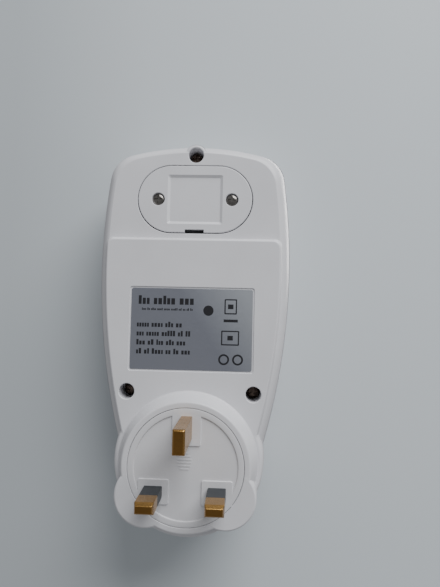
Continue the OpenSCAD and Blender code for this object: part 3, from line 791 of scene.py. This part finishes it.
def make_outlet_face():
    r = OUTLET_R
    disc = turned("outlet_moulding", [
        (r - 0.3, FACE_Z), (r - 0.08, FACE_Z + 0.08), (r, FACE_Z + 0.3), (r, OUTLET_BACK)],
        (0, PLATE_Y))
    slots = [(7.35, 5.0, (-PIN_X, 0)), (7.35, 5.0, (PIN_X, 0)), (5.0, 9.0, (0, EARTH_Y))]
    cuts = [stack("slot", [(round_rect(w + 0.8, h + 0.8, 0.4, at), FACE_Z - 0.4),
                           (round_rect(w, h, 0.3, at), FACE_Z + 0.4),
                           (round_rect(w, h, 0.3, at), OUTLET_BACK + 1)]) for w, h, at in slots]
    carve(disc, cuts, "DIFFERENCE")
    show(disc, "case", "case_white", ["outlet_face"])


def make_spring():
    """A coil of round wire that the shutter slides down on."""
    turns, per_turn, wire, reach = 6, 24, 0.14, 1.41
    top, low = SPRING_Y - wire - 0.01, SPRING_Y - SPRING_L + wire + 0.01
    axis_z = OUTLET_BACK + 1.9
    rings = []
    for i in range(turns * per_turn + 1):
        turn = 2 * math.pi * i / per_turn
        y = top + (low - top) * i / (turns * per_turn)
        rings.append([(r * math.cos(turn), y + up, axis_z + r * math.sin(turn))
                      for r, up in circle(wire, (reach, 0), 8)])
    spring = skin("shutter_coil", rings)
    show(spring, "case", "screw_steel", ["shutter_spring"])
    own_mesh(spring)


def finish_cad_pieces():
    """The pieces inside keep their CAD shape, with worn edges and their own finishes."""
    slots = {s["node"]: s["material_slot"] for s in frame["record"]["subparts"]}
    for name, node in frame["nodes"].items():
        if node.hide_render:
            continue
        join = node.modifiers.new("joined corners", "WELD")
        join.merge_threshold = 0.000001
        if name != "battery_wires":
            edge = node.modifiers.new("worn edges", "BEVEL")
            edge.width = 0.00012
            edge.segments = 2
            edge.limit_method = "ANGLE"
            edge.angle_limit = math.radians(40)
        node.data.materials.clear()
        node.data.materials.append(MATERIALS[slots[name]])


# ---- stage, lights and camera

def one_sided(name, colour):
    """A matt surface with painted shade from the window lamp's falloff, darker towards one side
    (+x, away from the lamp), that views from behind look through.
    """
    material, nodes, links = new_material(name)
    shader = nodes["Principled BSDF"]
    shader.inputs["Roughness"].default_value = 0.75
    rise = slope(nodes, links, (0.085, 0, 0), 0.17)
    links.new(ramp(nodes, links, rise,
                   [(0.0, [c * 0.86 for c in colour]), (0.35, [c * 1.04 for c in colour]),
                    (1.0, [c * 1.12 for c in colour])]), shader.inputs["Base Color"])
    side = nodes.new("ShaderNodeNewGeometry")
    clear = nodes.new("ShaderNodeBsdfTransparent")
    choose = nodes.new("ShaderNodeMixShader")
    links.new(side.outputs["Backfacing"], choose.inputs["Fac"])
    links.new(shader.outputs["BSDF"], choose.inputs[1])
    links.new(clear.outputs["BSDF"], choose.inputs[2])
    links.new(choose.outputs["Shader"], nodes["Material Output"].inputs["Surface"])
    return material


def plane(name, corners, material):
    mesh = bpy.data.meshes.new(name)
    mesh.from_pydata(corners, [], [tuple(range(len(corners)))])
    thing = bpy.data.objects.new(name, mesh)
    bpy.context.scene.collection.objects.link(thing)
    mesh.materials.append(material)
    return thing


def make_stage():
    # the tabletop that the meter lies on, face down
    y = -0.0424
    top = plane("tabletop", [(1.5, y, -1.5), (-1.5, y, -1.5), (-1.5, y, 1.5), (1.5, y, 1.5)],
                one_sided("table_white", (0.56, 0.60, 0.625)))
    top.visible_shadow = False
    top.visible_diffuse = False
    top.visible_glossy = False
    # the floor that the upright meter is seen over in other views
    material = plastic("floor_white", (0.55, 0.56, 0.57), 0.7, grain=0.0, shift=0.01)
    z = -0.075
    floor = plane("floor", [(-2, -2, z), (2, -2, z), (2, 2, z), (-2, 2, z)], material)
    floor.visible_diffuse = False
    floor.visible_glossy = False


def area_light(name, place, aim, size, power, colour):
    data = bpy.data.lights.new(name, "AREA")
    data.shape = "DISK"
    data.size = size
    data.energy = power
    data.color = colour
    lamp = bpy.data.objects.new(name, data)
    lamp.location = place
    lamp.rotation_mode = "QUATERNION"
    lamp.rotation_quaternion = (Vector(aim) - Vector(place)).to_track_quat("-Z", "Y")
    bpy.context.scene.collection.objects.link(lamp)


def make_lights():
    middle = (0, -0.02, 0.05)
    area_light("window", (-0.42, 0.50, 0.92), middle, 0.95, 16.5, (0.97, 0.985, 1.0))
    area_light("front_fill", (-0.5, -0.9, 0.5), middle, 0.8, 7.0, (1.0, 0.99, 0.97))
    world = bpy.data.worlds.new("room")
    world.use_nodes = True
    world.node_tree.nodes["Background"].inputs["Color"].default_value = (0.95, 0.97, 1.0, 1)
    world.node_tree.nodes["Background"].inputs["Strength"].default_value = 0.30
    bpy.context.scene.world = world


def make_camera():
    """Looks at the back, from near the middle of the case and a little to one side."""
    place = Vector((-0.018594, 0.179553, 0.059325))
    aim = Vector((-0.010335, -0.008, 0.069819))
    tilt = math.radians(1.302)
    data = bpy.data.cameras.new("camera")
    data.lens = 31.286
    data.sensor_width = 36.0
    camera = bpy.data.objects.new("camera", data)
    camera.location = place
    camera.rotation_mode = "QUATERNION"
    camera.rotation_quaternion = ((aim - place).to_track_quat("-Z", "Y")
                                  @ Quaternion((0, 0, 1), tilt))
    bpy.context.scene.collection.objects.link(camera)
    bpy.context.scene.camera = camera


make_rear_shell()
make_front_shell()
make_pin_plate()
make_pins()
make_screws()
make_battery_cover()
make_cells()
make_label()
make_lens()
make_digits()
make_keys()
make_outlet_face()
make_spring()
finish_cad_pieces()
make_stage()
make_lights()
make_camera()
